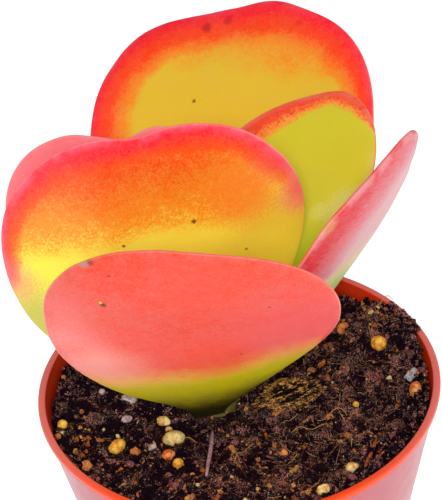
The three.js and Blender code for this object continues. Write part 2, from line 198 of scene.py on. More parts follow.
# The stretch of the lip, in degrees, that soil has spilled on, and its crumbs there.
SPILL = dict(start=14, end=31, count=110, inner=56.2, width=2.9)
BARK = dict(x=14.5, y=-4, length=18.5, width=9.5, height=8, turn=14)
CHIP = dict(x=52.2, y=-0.2, length=5, width=2.4, height=1, turn=50)
CHIP_TIP = math.radians(12)
TWIGS = {
    "twig_mauve": dict(start=(-8.8, -15.2), end=(-11.1, -38.6), radius=0.6),
    "twig_orange": dict(start=(38, -26.3), end=(33, -40.8), radius=0.5),
}
TWIG_RISE = 0.75

# What is strewn at random: the name of the piece, detail of its shape, how many, smallest and
# largest half size, and how rough the shape is.
CRUMB_SORTS = [("soil_crumbs", 1, 8200, 0.2, 0.62, 0.6), ("soil_clods", 2, 520, 0.7, 1.7, 0.8)]
EDGE_CRUMBS = 2600
FLAKES = 500
FIBRES = 2300
GRAINS = 640

# How far from the pot's axis they may reach. A spread is how far out their places are drawn.
CRUMB_REACH = 56.4
EDGE_REACH, EDGE_WALL = 56.9, 57
GRAIN_REACH, GRAIN_SPREAD = 55.4, 55
FLAKE_SPREAD = 53.5
FIBRE_REACH, FIBRE_SPREAD = 54.8, 52

# Where pale grains gather: x, y and how wide the cluster spreads, in turn.
GRAIN_CLUSTERS = [(2, -50, 7), (14, -46, 8), (-12, -47, 5), (45, 26, 6), (34, -26, 9), (24, 8, 7),
                  (-46, -14, 4), (6, -36, 8)]

TWIG_TONES = {"orange": 0.97, "pale": 0.7, "mauve": 0.45}

# Fibres that show well, as three places (x, y) each, with how high the middle arches.
NAMED_FIBRES = [
    ((22, -13.9), (28.4, -12.3), (30.8, -13.9), 1.2, "orange"),
    ((42.2, 18.6), (46.2, 20.2), (49.6, 21.4), 1.5, "pale"),
    ((45, 27.5), (48.4, 30.2), (51.6, 27.4), 2.0, "orange"),
    ((31, 7.2), (33.4, 3.4), (36.3, -1.5), 1.0, "pale"),
    ((-18, -17.5), (-16.2, -19.2), (-13.4, -19.3), 1.0, "orange"),
    ((-12, -30), (-16.5, -28.2), (-21, -30.4), 1.4, "mauve"),
    ((33.6, -31), (30.5, -36), (26, -42), 1.0, "pale"),
    ((3, -24), (-1.5, -28.5), (-3.2, -33), 0.9, "orange"),
    ((14, -20), (19, -18.6), (24, -18.2), 0.9, "orange"),
    ((-40, -26), (-36.4, -27.2), (-31.5, -26.6), 0.8, "pale"),
]


# ---- small tools

def rgb(red, green, blue):
    """A screen colour, 0 to 255, as the linear colour that a shader wants."""
    def linear(part):
        part /= 255
        return part / 12.92 if part <= 0.04045 else ((part + 0.055) / 1.055) ** 2.4
    return (linear(red), linear(green), linear(blue), 1)


def smooth_step(start, end, value):
    t = np.clip((value - start) / (end - start), 0, 1)
    return t * t * (3 - 2 * t)


def noise_at(points, scale, offset=0.0):
    """Smooth noise, about -1 to 1, at each row of points."""
    return np.array([noise.noise(Vector(p) * scale + Vector((offset, 0, 0))) for p in points])


def start_piece(name, add, **settings):
    """Adds a primitive with nothing else selected, and names it."""
    bpy.ops.object.select_all(action="DESELECT")
    add(**settings)
    piece = bpy.context.object
    piece.name = name
    piece.data.name = name
    return piece


def corners(piece):
    places = np.empty(len(piece.data.vertices) * 3)
    piece.data.vertices.foreach_get("co", places)
    return places.reshape(-1, 3)


def set_corners(piece, places, inside_cad=True):
    """Writes places given in millimetres, kept inside the CAD model's box."""
    metres = np.asarray(places) * MM
    if inside_cad:
        metres = np.clip(metres, np.array(cad_low), np.array(cad_high))
    piece.data.vertices.foreach_set("co", metres.ravel())
    piece.data.update()


def set_marks(piece, **marks):
    """Stores a number for each corner, which the materials read by name."""
    for name, values in marks.items():
        mark = piece.data.attributes.new(name, "FLOAT", "POINT")
        mark.data.foreach_set("value", np.asarray(values, dtype=np.float32))


def pick(piece):
    """Makes this the one selected and active object."""
    bpy.ops.object.select_all(action="DESELECT")
    piece.select_set(True)
    bpy.context.view_layer.objects.active = piece


def edit_all():
    """Opens the active object's mesh for editing, with all of it selected."""
    bpy.ops.object.mode_set(mode="EDIT")
    bpy.ops.mesh.select_all(action="SELECT")


def close_edit():
    bpy.ops.object.mode_set(mode="OBJECT")


def shade(piece, angle=None):
    pick(piece)
    if angle is None:
        bpy.ops.object.shade_smooth()
    else:
        bpy.ops.object.shade_smooth_by_angle(angle=math.radians(angle))


def face_out(piece, join=1e-7):
    """Joins corners closer than join, in metres, and turns every face outward."""
    pick(piece)
    edit_all()
    bpy.ops.mesh.remove_doubles(threshold=join)
    bpy.ops.mesh.normals_make_consistent(inside=False)
    close_edit()


def start_ball(name, detail):
    return start_piece(name, bpy.ops.mesh.primitive_ico_sphere_add, subdivisions=detail, radius=1)


def mesh_piece(name, points, faces, tones):
    """A piece from points (groups, corners, 3) in millimetres, with one tone for each group."""
    mesh = bpy.data.meshes.new(name)
    mesh.from_pydata(points.reshape(-1, 3) * MM, [], faces)
    piece = bpy.data.objects.new(name, mesh)
    bpy.context.scene.collection.objects.link(piece)
    set_marks(piece, tone=np.repeat(tones, points.shape[1]))
    return piece


def on_circle(angle, radius):
    return radius * np.cos(angle), radius * np.sin(angle)


def turned(points, degrees):
    """Turns points round the vertical axis."""
    cosine, sine = math.cos(math.radians(degrees)), math.sin(math.radians(degrees))
    x, y = points[:, 0] * cosine - points[:, 1] * sine, points[:, 0] * sine + points[:, 1] * cosine
    return np.stack([x, y, points[:, 2]], 1)


def finish_piece(piece, material, slot, *nodes):
    """Gives a piece its material, says what it rides on and hides the nodes it stands for. The slot is not
    used.
    """
    piece.data.materials.clear()
    piece.data.materials.append(material)
    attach(piece, BODY)
    if nodes:
        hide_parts(*nodes)


# ---- heights

def outer_radius(height):
    share = height / (RIM_HEIGHT - POT["lip_height"])
    return POT["foot"] + (POT["wall_top"] - POT["foot"]) * share


def inner_radius(height):
    return np.minimum(outer_radius(height) - POT["wall"], RIM_RADIUS - POT["lip_width"])


def clod_height(x, y):
    """Clods about 6 mm across, on the soil's main shape."""
    u = x + CLOD_WARP * np.sin(0.21 * y + 0.5)
    v = y + CLOD_WARP * np.sin(0.19 * x + 1.9)
    return SOIL_CLOD * (np.sin(0.62 * u + 0.24 * v) * np.sin(0.59 * v - 0.2 * u + 1.1)
                        + 0.6 * np.sin(0.44 * u - 0.5 * v + 2.7) * np.sin(0.53 * u + 0.37 * v))


def soil_height(x, y):
    front = SOIL_FRONT["rise"] * smooth_step(SOIL_FRONT["start"], SOIL_FRONT["end"], y)
    from_heap = np.hypot(x - SOIL_HEAP["x"], y - SOIL_HEAP["y"]) / SOIL_HEAP["spread"]
    from_dip = np.hypot(x - SOIL_DIP["x"], y - SOIL_DIP["y"]) / SOIL_DIP["spread"]
    lumps = np.sin(0.31 * x + 1.3) * np.cos(0.27 * y) + 0.7 * np.sin(0.23 * x - 0.41 * y + 2.1)
    return (SOIL_LEVEL + front + SOIL_HEAP["height"] * np.exp(-from_heap ** 2 / 2)
            - SOIL_DIP["depth"] * np.exp(-from_dip ** 2) + SOIL_LUMP * lumps + clod_height(x, y))


def ground(x, y):
    """Height of the soil's main shape over the pot's foot."""
    return RIM_HEIGHT + soil_height(x, y)


# ---- node tools

def feed(socket, value):
    if isinstance(value, bpy.types.NodeSocket):
        value.id_data.links.new(value, socket)
    else:
        socket.default_value = value


def fill(node, inputs):
    for key, value in inputs.items():
        feed(node.inputs[key], value)


def add_node(tree, kind, inputs, output=0, **settings):
    """Adds a shader node and gives one of its outputs."""
    made = tree.nodes.new("ShaderNode" + kind)
    for key, value in settings.items():
        setattr(made, key, value)
    fill(made, inputs)
    return made.outputs[output]


def calc(operation, first, second, clamp=False):
    tree = (first if isinstance(first, bpy.types.NodeSocket) else second).id_data
    return add_node(tree, "Math", {0: first, 1: second}, operation=operation, use_clamp=clamp)


def plus(first, *others, clamp=False):
    for other in others:
        first = calc("ADD", first, other, clamp)
    return first


def times(first, *others):
    for other in others:
        first = calc("MULTIPLY", first, other)
    return first


def minus(first, second):
    return calc("SUBTRACT", first, second)


def flip(value, clamp=False):
    return calc("SUBTRACT", 1.0, value, clamp)


def step_mask(value, low, high):
    """0 below low, 1 above high, soft between."""
    return add_node(value.id_data, "MapRange", {0: value, 1: low, 2: high}, interpolation_type="SMOOTHSTEP")


def mix(factor, first, second):
    return add_node(factor.id_data, "Mix", {0: factor, 6: first, 7: second}, 2, data_type="RGBA")


def grain(place, scale, detail=2.0, roughness=0.5):
    return add_node(place.id_data, "TexNoise",
                {"Vector": place, "Scale": scale, "Detail": detail, "Roughness": roughness})


def vector_calc(operation, first, second=(0, 0, 0)):
    output = "Value" if operation in ("LENGTH", "DISTANCE") else "Vector"
    return add_node(first.id_data, "VectorMath", {0: first, 1: second}, output, operation=operation)


def scaled(place, by):
    return add_node(place.id_data, "VectorMath", {0: place, "Scale": by}, operation="SCALE")


def spread(value, low, high, first, last):
    """Runs evenly from first to last while value goes from low to high."""
    return add_node(value.id_data, "MapRange", {0: value, 1: low, 2: high, 3: first, 4: last})


def mark(tree, name):
    return add_node(tree, "Attribute", {}, "Fac", attribute_name=name)


def new_group(name, floats=(), vectors=(), colours=(), gives=("Colour",)):
    """A node group with plainly named inputs and outputs. Only Colour comes out as a colour."""
    tree = bpy.data.node_groups.new(name, "ShaderNodeTree")
    for labels, kind in ((floats, "Float"), (vectors, "Vector"), (colours, "Color")):
        for label in labels:
            tree.interface.new_socket(name=label, in_out="INPUT", socket_type="NodeSocket" + kind)
    for label in gives:
        kind = "Color" if label == "Colour" else "Float"
        tree.interface.new_socket(name=label, in_out="OUTPUT", socket_type="NodeSocket" + kind)
    return tree, tree.nodes.new("NodeGroupInput").outputs, tree.nodes.new("NodeGroupOutput")


def use_group(tree, group, inputs):
    made = tree.nodes.new("ShaderNodeGroup")
    made.node_tree = group
    fill(made, inputs)
    return made.outputs


def new_material(name):
    material = bpy.data.materials.new(name)
    material.use_nodes = True
    tree = material.node_tree
    return material, tree, tree.nodes["Principled BSDF"]


def object_place(tree):
    """Place on the object in millimetres."""
    return scaled(add_node(tree, "TexCoord", {}, "Object"), 1 / MM)


def bump(height, strength, distance):
    return add_node(height.id_data, "Bump",
                {"Height": height, "Strength": strength, "Distance": distance * MM})


# ---- leaf finish

def make_leaf_paint():
    """Colour of one face of a leaf: a green foot, the body, and a blush that is hottest at the rim.

    Heat is 1 at the rim and 0 at the inner end of the ring, and it climbs along the leaf as a
    band too. Body, Amber, Hot and Margin follow each other as it grows.
    """
    group, given, made = new_group(
        "leaf paint",
        floats=("Along", "Across", "Inset", "Foot End", "Foot Slant", "Foot Soft", "Ring Depth",
                "Ring Growth", "Ring Side", "Ring Start", "Band Start", "Band End", "Slant",
                "Stipple", "Mottle"),
        vectors=("Place", "Stretch"),
        colours=("Dark Foot And Shade", "Foot", "Cream", "Body", "Amber", "Hot", "Margin"))
    along, across, foot_end, foot_soft, ring_start, band_start, band_end = (
        given[name] for name in ("Along", "Across", "Foot End", "Foot Soft", "Ring Start",
                                 "Band Start", "Band End"))
    drawn = vector_calc("MULTIPLY", given["Place"], given["Stretch"])
    wobble = minus(grain(drawn, 0.05, 2), 0.5)
    medium = minus(grain(drawn, 0.28, 3), 0.5)
    blotches = minus(grain(drawn, 0.6, 2, 0.6), 0.5)
    fine = minus(grain(drawn, 1.5, 3, 0.7), 0.5)

    foot = plus(along, times(across, given["Foot Slant"]), times(wobble, 0.1), times(medium, 0.05),
                times(fine, 0.03))
    climb = calc("DIVIDE", foot, foot_end)
    # The darkest colour, at the very foot of the leaf, is partly its own dark green and partly painted
    # shade where the leaves crowd round the stem.
    colour = mix(step_mask(climb, 0.2, 0.75), given["Dark Foot And Shade"], given["Foot"])
    colour = mix(step_mask(climb, 0.74, 0.98), colour, given["Cream"])
    above = step_mask(foot, minus(foot_end, foot_soft), plus(foot_end, foot_soft))
    colour = mix(above, colour, given["Body"])

    depth = plus(1.0, times(minus(along, 0.6), given["Ring Growth"]), times(across, given["Ring Side"]),
                 times(wobble, 0.9))
    depth = calc("MAXIMUM", times(depth, given["Ring Depth"]), 0.2)
    ring = flip(calc("DIVIDE", given["Inset"], depth), clamp=True)
    ring = times(ring, step_mask(plus(along, times(wobble, 0.3)), minus(ring_start, 0.1),
                                 plus(ring_start, 0.1)))
    run = plus(along, times(across, given["Slant"]), times(wobble, 0.16))
    band = calc("DIVIDE", minus(run, band_start), minus(band_end, band_start), clamp=True)
    heat = minus(plus(ring, band), times(ring, band))
    stir = plus(times(medium, 0.15), times(plus(times(blotches, 0.5), fine), given["Stipple"]))
    heat = plus(heat, times(stir, step_mask(heat, 0.0, 0.25)))
    heat = times(heat, step_mask(climb, 0.7, 1.05))
    for tint, start, end in (("Amber", 0.02, 0.3), ("Hot", 0.26, 0.66), ("Margin", 0.66, 0.98)):
        colour = mix(step_mask(heat, start, end), colour, given[tint])
    uneven = plus(times(wobble, 0.5), times(medium, 0.5), times(blotches, 0.4), fine)
    uneven = times(uneven, given["Mottle"])
    mottled = add_node(group, "HueSaturation", {
        "Color": colour, "Saturation": plus(1.0, times(uneven, 0.22)),
        "Value": plus(1.0, times(uneven, 0.2))})
    fill(made, {"Colour": mottled})
    return group


def make_bloom():
    """The whitish wax that dulls the colour in clouds, scuffs and fine specks."""
    group, given, made = new_group("wax bloom", ("Where", "Amount"), ("Place",), ("Colour", "Wax"))
    clouds = step_mask(grain(given["Place"], 0.07, 3, 0.6), 0.2, 0.8)
    scuffs = step_mask(grain(given["Place"], 0.9, 5, 0.7), 0.3, 0.75)
    specks = step_mask(grain(given["Place"], 1.7, 2, 0.5), 0.64, 0.8)
    mask = times(plus(times(scuffs, 0.35), times(clouds, 0.55)), given["Where"], given["Amount"])
    mask = plus(mask, times(specks, 0.12), clamp=True)
    fill(made, {"Colour": mix(mask, given["Colour"], given["Wax"])})
    return group


def make_patch():
    """A soft patch of another colour at one place of a leaf: a blush, a scar or a dead spot."""
    group, given, made = new_group("patch", ("Radius", "Strength"), ("Place", "Centre"),
                                   ("Colour", "Tint"))
    away = calc("DIVIDE", vector_calc("DISTANCE", given["Place"], given["Centre"]), given["Radius"])
    ragged = minus(grain(given["Place"], 1.3, 4, 0.6), 0.5)
    mask = flip(step_mask(plus(away, times(ragged, 1.2)), 0.3, 1.3))
    fill(made, {"Colour": mix(times(mask, given["Strength"]), given["Colour"], given["Tint"])})
    return group


def make_leaf_rim():
    """Wax along a leaf's rim, broken in places, and the pale line at its very edge."""
    group, given, made = new_group("leaf rim", ("Along", "Inset", "Amount"), ("Place",),
                                   ("Colour", "Wax", "Line"))
    along, inset = given["Along"], given["Inset"]
    broken = step_mask(grain(given["Place"], 0.12, 4, 0.6), 0.35, 0.6)
    edge = times(flip(step_mask(inset, 0.2, 3.0)), broken, step_mask(along, 0.45, 0.6))
    colour = mix(times(edge, given["Amount"]), given["Colour"], given["Wax"])
    line = plus(times(flip(step_mask(along, 0.5, 0.9)), 0.3), 0.14)
    line = times(flip(step_mask(inset, 0.1, 0.45)), line)
    fill(made, {"Colour": mix(line, colour, given["Line"])})
    return group


LEAF_PAINT = make_leaf_paint()
WAX_BLOOM = make_bloom()
PATCH = make_patch()
LEAF_RIM = make_leaf_rim()

SUNSET = {
    "Dark Foot And Shade": rgb(120, 126, 24), "Foot": rgb(196, 192, 48), "Cream": rgb(218, 196, 54),
    "Body": rgb(222, 183, 46), "Amber": rgb(236, 148, 40), "Hot": rgb(238, 82, 28),
    "Margin": rgb(236, 42, 58), "Foot End": 0.34, "Foot Slant": 0.0, "Foot Soft": 0.12,
    "Ring Depth": 8.0, "Ring Growth": 0.9, "Ring Side": 0.0, "Ring Start": 0.5,
    "Band Start": 0.52, "Band End": 1.04, "Slant": -0.05, "Stipple": 1.1, "Mottle": 0.3,
    "Stretch": (1, 1, 1),
}
# The coral face's foot is nearly black: partly its own dark olive, partly painted shade round the stem.
CORAL = {
    "Dark Foot And Shade": rgb(40, 36, 4), "Foot": rgb(190, 176, 26), "Cream": rgb(222, 176, 64),
    "Body": rgb(223, 86, 74), "Amber": rgb(215, 82, 70), "Hot": rgb(214, 75, 60),
    "Margin": rgb(212, 70, 50), "Foot End": 0.415, "Foot Slant": -0.067, "Foot Soft": 0.075,
    "Ring Depth": 3.0, "Ring Growth": 0.3, "Ring Side": 0.0, "Ring Start": 0.45,
    "Band Start": 0.5, "Band End": 1.25, "Slant": 0.0, "Stipple": 0.7, "Mottle": 1.0,
    "Stretch": (1, 1, 1),
}
SCAR_BROWN = rgb(96, 40, 16)
SCAR_GREY = rgb(150, 128, 112)

# What each leaf changes of the two finishes above; how much wax it has, and towards which side;
# colour and strength of the wax along its rim; patches as (across, along, radius, colour, strength).
FINISHES = {
    "leaf_front": dict(
        wax=0.52, wax_side=-0.95, rim=(rgb(232, 130, 126), 0.2),
        patches=[(30, 60, 22, rgb(218, 92, 100), 0.5), (-24, 45, 12, rgb(236, 190, 170), 0.24),
                 (6, 48, 12, rgb(228, 76, 54), 0.5), (2, 88, 16, rgb(228, 76, 54), 0.4),
                 (-26.5, 92.2, 1.5, SCAR_GREY, 0.9), (-24.5, 93.2, 1.0, SCAR_BROWN, 0.8),
                 (-22.4, 78, 1.0, SCAR_BROWN, 0.9), (-23, 78.8, 0.5, rgb(226, 200, 60), 1),
                 (-20, 90, 0.5, SCAR_BROWN, 0.7), (12, 50, 0.5, SCAR_BROWN, 0.7),
                 (20, 76, 0.4, SCAR_BROWN, 0.6)]),
    "leaf_left": dict(
        upper={"Dark Foot And Shade": rgb(192, 186, 56), "Foot": rgb(222, 216, 68), "Cream": rgb(230, 220, 66),
               "Body": rgb(236, 226, 72), "Foot End": 0.48, "Margin": rgb(240, 42, 60),
               "Ring Depth": 7.0, "Ring Start": 0.55, "Band Start": 0.56, "Band End": 1.09,
               "Stipple": 0.68},
        wax=0.25, rim=(rgb(240, 130, 156), 0.4),
        patches=[(38, 33, 18, rgb(184, 178, 88), 0.8), (44, 52, 9, rgb(238, 110, 126), 0.5),
                 # The bright yellow-green patch at (-38, 32) is the leaf's own colour made lighter as
                 # painted light, where the leaf lies in shade.
                 (-38, 32, 15, rgb(232, 228, 70), 0.75), (-32, 57, 11, rgb(242, 132, 44), 0.75),
                 (-45, 62, 8, rgb(238, 78, 98), 0.4), (-46, 48, 7, rgb(248, 128, 124), 0.8),
                 (-17, 56.5, 0.8, SCAR_BROWN, 0.9), (4.5, 57, 0.6, SCAR_BROWN, 0.9),
                 (-26, 40, 0.5, SCAR_BROWN, 0.7)]),
    "leaf_back": dict(
        upper={"Ring Depth": 11.8, "Ring Side": 0.36, "Ring Start": 0.3, "Band Start": 0.78,
               "Band End": 1.22, "Stipple": 0.42, "Hot": rgb(246, 68, 28), "Amber": rgb(240, 134, 36),
               "Margin": rgb(246, 34, 52)},
        wax=0.2, rim=(rgb(244, 116, 134), 0.22),
        patches=[(12, 85.5, 0.7, SCAR_BROWN, 0.8), (9.5, 110, 2, rgb(176, 10, 30), 0.7),
                 (2.5, 112, 1.8, rgb(186, 16, 36), 0.6), (-22, 108, 1.2, rgb(196, 28, 44), 0.4)]),
    "leaf_right_back": dict(
        upper={"Dark Foot And Shade": rgb(136, 152, 22), "Foot": rgb(166, 186, 30), "Cream": rgb(182, 194, 38),
               "Body": rgb(204, 195, 42), "Amber": rgb(240, 150, 56), "Hot": rgb(236, 74, 38),
               "Margin": rgb(232, 60, 48), "Foot End": 0.55, "Foot Soft": 0.2, "Ring Depth": 5.2,
               "Ring Growth": 0.8, "Ring Side": 1.7, "Band Start": 0.92, "Band End": 1.5},
        wax=0.3, rim=(rgb(238, 196, 150), 0.22),
        # Of the two pale patches, the larger is the pale green of the leaf's edge and the small one at
        # (-14, 50) is a painted highlight.
        patches=[(-23, 52, 8, rgb(216, 220, 150), 0.5), (-14, 50, 3, rgb(216, 218, 130), 0.3)]),
    "leaf_right": dict(
        under={"Dark Foot And Shade": rgb(120, 150, 40), "Foot": rgb(184, 200, 116), "Cream": rgb(220, 200, 150),
               "Body": rgb(214, 164, 166), "Amber": rgb(212, 140, 150), "Hot": rgb(212, 104, 110),
               "Margin": rgb(208, 58, 66), "Foot End": 0.54, "Foot Slant": -0.06,
               "Foot Soft": 0.08, "Ring Depth": 0.6, "Band Start": 0.47, "Band End": 1.4,
               "Slant": -0.9, "Stretch": (0.3, 1.3, 1)},
        wax=0.55, wax_side=0.7, rim=(rgb(228, 190, 196), 0.35),
        patches=[(-29, 78, 4, rgb(206, 172, 96), 0.5)]),
    "leaf_far_left": dict(
        upper={"Amber": rgb(246, 164, 96), "Hot": rgb(242, 134, 104), "Margin": rgb(240, 116, 124),
               "Ring Depth": 14.0, "Ring Start": 0.3, "Band Start": 0.4, "Band End": 0.85},
        wax=0.35, rim=(rgb(236, 140, 152), 0.3)),
}
YOUNG_FINISH = dict(upper={"Foot End": 0.5}, under={"Foot End": 0.6}, wax=0.6,
                    rim=(rgb(220, 200, 150), 0.2))
WAX = rgb(232, 186, 186)
RIM_LINE = rgb(244, 196, 170)


def leaf_material(name):
    finish = FINISHES.get(name, YOUNG_FINISH)
    material, tree, skin = new_material(name + " skin")
    along, across, inset, upper = (mark(tree, m) for m in ("along", "across", "inset", "upper"))
    flat = scaled(add_node(tree, "UVMap", {}, uv_map="blade"), UV_SIZE)
    place = vector_calc("ADD", flat, (LEAVES[name]["azimuth"], LEAVES[name]["lean"], 0))
    where = {"Along": along, "Across": across, "Inset": inset, "Place": place}
    top = use_group(tree, LEAF_PAINT, {**where, **SUNSET, **finish.get("upper", {})})[0]
    under = use_group(tree, LEAF_PAINT, {**where, **CORAL, **finish.get("under", {})})[0]
    colour = mix(step_mask(upper, 0.35, 0.65), under, top)

    towards = plus(times(across, finish.get("wax_side", 0.0)), times(minus(0.8, along), 1.5))
    lying = times(step_mask(towards, 0.6, 1.35), step_mask(along, 0.34, 0.44))
    colour = use_group(tree, WAX_BLOOM, {"Colour": colour, "Wax": WAX, "Place": place,
                                         "Where": lying, "Amount": finish["wax"]})[0]
    for x, y, radius, tint, strength in finish.get("patches", []):
        colour = use_group(tree, PATCH, {"Colour": colour, "Tint": tint, "Place": flat,
                                         "Centre": (x, y, 0), "Radius": radius,
                                         "Strength": strength})[0]
    rim_colour, rim_amount = finish["rim"]
    colour = use_group(tree, LEAF_RIM, {"Colour": colour, "Wax": rim_colour, "Line": RIM_LINE,
                                        "Place": place, "Along": along, "Inset": inset,
                                        "Amount": rim_amount})[0]
    mottle = grain(place, 0.9, 4, 0.6)
    relief = plus(times(grain(place, 0.16, 3), 2.2), mottle)
    # The leaf's faint glow in its own colour is painted light for its shaded parts.
    fill(skin, {
        "Base Color": colour, "Emission Color": colour, "Emission Strength": LEAF_PAINTED_GLOW,
        "Roughness": spread(mottle, 0.2, 0.8, 0.42, 0.6), "Normal": bump(relief, 0.35, 0.25),
        "Specular IOR Level": 0.2, "Subsurface Weight": 0.1,
        "Subsurface Radius": (1.0, 0.65, 0.4), "Subsurface Scale": 1.6 * MM})
    return material


# ---- leaves

def rim_points(leaf, angle):
    across, along = np.cos(angle), np.sin(angle)
    half = leaf["width"] / 2
    middle = leaf["widest"] * leaf["length"]
    wide = np.where(along >= 0, half * np.abs(across) ** (2 / leaf["corner"]),
                    leaf["neck"] + (half - leaf["neck"]) * np.abs(across) ** leaf["flare"])
    x = np.where(np.abs(across) > 1e-6, np.sign(across) * wide, 0)
    y = np.where(along >= 0, (leaf["length"] - middle) * np.abs(along) ** (2 / leaf["corner"]),
                 middle * along)
    for place, depth, wide_angle in leaf["waves"]:
        away = (angle - math.radians(place) + math.pi) % (2 * math.pi) - math.pi
        keep = 1 - depth * np.exp(-(away / math.radians(wide_angle)) ** 2)
        x, y = x * keep, y * keep
    return x, y


def on_leaf(leaf, flat_x, flat_y, lift):
    """Lays points of the flat blade on the bent and twisted leaf, lifted along its thickness."""
    flat_x, flat_y, lift = flat_x[:, None], flat_y[:, None], lift[:, None]
    tilt = math.radians(leaf["tilt"])
    x = flat_x * math.cos(tilt) - flat_y * math.sin(tilt)
    y = np.maximum(0, flat_x * math.sin(tilt) + flat_y * math.cos(tilt))
    share = y / leaf["length"]
    first = math.radians(leaf["lean"])
    curve = math.radians(leaf["bend"]) / leaf["length"]
    lean = first + curve * y
    out = (math.cos(first) - np.cos(lean)) / curve
    high = (np.sin(lean) - math.sin(first)) / curve
    roll = np.radians(leaf["turn"] + leaf["twist"] * np.minimum(share, 1))
    azimuth = math.radians(leaf["azimuth"])
    outward = np.array([math.cos(azimuth), math.sin(azimuth), 0])
    sideways = np.array([-math.sin(azimuth), math.cos(azimuth), 0])
    up = np.array([0, 0, 1])
    inward = np.sin(lean) * up - np.cos(lean) * outward
    across = np.cos(roll) * sideways + np.sin(roll) * inward
    face = np.cos(roll) * inward - np.sin(roll) * sideways
    swept = x + leaf["sweep"] * leaf["length"] * share ** 2
    root = np.array(leaf["foot"]) + RIM_HEIGHT * up
    return root + out * outward + high * up + swept * across + (leaf["cup"] * x * x + lift) * face


def make_leaf(node):
    leaf = LEAVES[node]
    piece = start_piece(node.replace("leaf_", "") + "_leaf", bpy.ops.mesh.primitive_uv_sphere_add,
                        segments=LEAF_SIDES, ring_count=LEAF_RINGS, radius=1)
    ball = corners(piece)
    share = np.minimum(1, np.hypot(ball[:, 0], ball[:, 1]))
    rim_x, rim_y = rim_points(leaf, np.arctan2(ball[:, 1], -ball[:, 0]))
    middle = leaf["widest"] * leaf["length"]
    flat_x = rim_x * share
    flat_y = rim_y * share + middle
    flat = np.stack([flat_x, flat_y, np.zeros_like(flat_x)], 1)
    thick = leaf["thickness"] / 2 * np.sqrt(np.maximum(0, 1 - share ** 4))
    above_foot = smooth_step(0.1, 0.4, flat_y / leaf["length"])
    sag = LEAF_SAG * leaf["thickness"] * noise_at(flat, 0.045, leaf["azimuth"]) * above_foot
    ripple = LEAF_RIPPLE * noise_at(flat, 0.14, leaf["azimuth"] + 40) * share ** 2
    set_corners(piece, on_leaf(leaf, flat_x, flat_y, np.sign(ball[:, 2]) * thick + sag + ripple))
    set_marks(piece, along=flat_y / leaf["length"], across=flat_x / (leaf["width"] / 2),
              inset=(1 - share) * np.hypot(rim_x, rim_y),
              upper=0.5 + 0.5 * np.sign(ball[:, 2]) * np.minimum(1, thick))
    layer = piece.data.uv_layers[0]
    layer.name = "blade"
    corner_of = np.empty(len(piece.data.loops), dtype=np.int32)
    piece.data.loops.foreach_get("vertex_index", corner_of)
    layer.data.foreach_set("uv", (flat[corner_of, :2] / UV_SIZE).astype(np.float32).ravel())
    shade(piece)
    finish_piece(piece, leaf_material(node), LEAF_SLOTS.get(node, "leaf_lime"), node)


# ---- turned pieces

def turn_profile(name, profile, steps):
    """Spins a profile of (radius, height) round the vertical axis into a closed skin."""
    piece = start_piece(name, bpy.ops.mesh.primitive_plane_add, size=1)
    mesh = piece.data
    mesh.clear_geometry()
    mesh.vertices.add(len(profile))
    mesh.edges.add(len(profile) - 1)
    places = np.array([(radius * MM, 0, height * MM) for radius, height in profile])
    mesh.vertices.foreach_set("co", places.ravel())
    mesh.edges.foreach_set("vertices", np.array([(i, i + 1) for i in range(len(profile) - 1)]).ravel())
    edit_all()
    bpy.ops.mesh.spin(steps=steps, angle=2 * math.pi, center=(0, 0, 0), axis=(0, 0, 1))
    close_edit()
    face_out(piece, 1e-6)
    return piece


def cut_away(piece, tools):
    for tool in tools:
        cut = piece.modifiers.new("cut", "BOOLEAN")
        cut.object, cut.operation, cut.solver = tool, "DIFFERENCE", "EXACT"
        pick(piece)
        bpy.ops.object.modifier_apply(modifier=cut.name)
        bpy.data.objects.remove(tool)


def arc(middle, height, radius, start, end, count):
    """Points of a profile on a round edge, between two angles in degrees."""
    angles = np.radians(np.linspace(start, end, count))
    return [(middle + radius * math.cos(a), height + radius * math.sin(a)) for a in angles]


def pot_material():
    material, tree, skin = new_material("pot plastic")
    place = object_place(tree)
    height, depth = (add_node(tree, "SeparateXYZ", {0: place}, axis) for axis in "ZY")
    radius = vector_calc("LENGTH", vector_calc("MULTIPLY", place, (1, 1, 0)))
    lip_foot = RIM_HEIGHT - POT["lip_height"]
    lip_inner = RIM_RADIUS - POT["lip_width"]
    lip = step_mask(height, lip_foot - 0.5, lip_foot + 0.3)
    wall = mix(grain(place, 0.03, 3), rgb(190, 86, 90), rgb(180, 90, 106))
    # The lip goes from hot orange at the front to a dull rose further back. The rose is a painted
    # reflection of the pale surroundings at grazing angles, made lighter as painted light where leaves
    # shade the lip.
    lip_colour_and_painted_sheen = mix(step_mask(depth, -54, -20), rgb(248, 78, 24), rgb(236, 116, 106))
    colour = mix(lip, wall, lip_colour_and_painted_sheen)

    taper = (POT["wall_top"] - POT["foot"]) / lip_foot
    in_wall = plus(times(height, taper), POT["foot"] - POT["wall"] * 0.6)
    inside = times(flip(step_mask(minus(radius, in_wall), -0.2, 0.2)), flip(lip))
    inside = plus(inside, times(flip(step_mask(radius, lip_inner + 0.02, lip_inner + 0.3)), lip))
    shaded = mix(step_mask(height, RIM_HEIGHT - 8, RIM_HEIGHT - 2), rgb(142, 22, 2), rgb(218, 60, 20))
    colour = mix(inside, colour, shaded)
    dust = step_mask(grain(place, 0.9, 5, 0.7), 0.68, 0.78)
    fill(skin, {
        "Base Color": mix(times(dust, 0.5), colour, rgb(90, 50, 44)),
        "Roughness": spread(grain(place, 0.25, 4), 0.3, 0.7, 0.3, 0.44),
        "Normal": bump(grain(place, 0.6, 3), 0.08, 0.2),
        "Coat Weight": times(flip(inside), 0.55), "Coat Roughness": 0.3,
        "Specular IOR Level": 0.1, "Subsurface Weight": 0.08, "Subsurface Scale": 2 * MM})
    return material


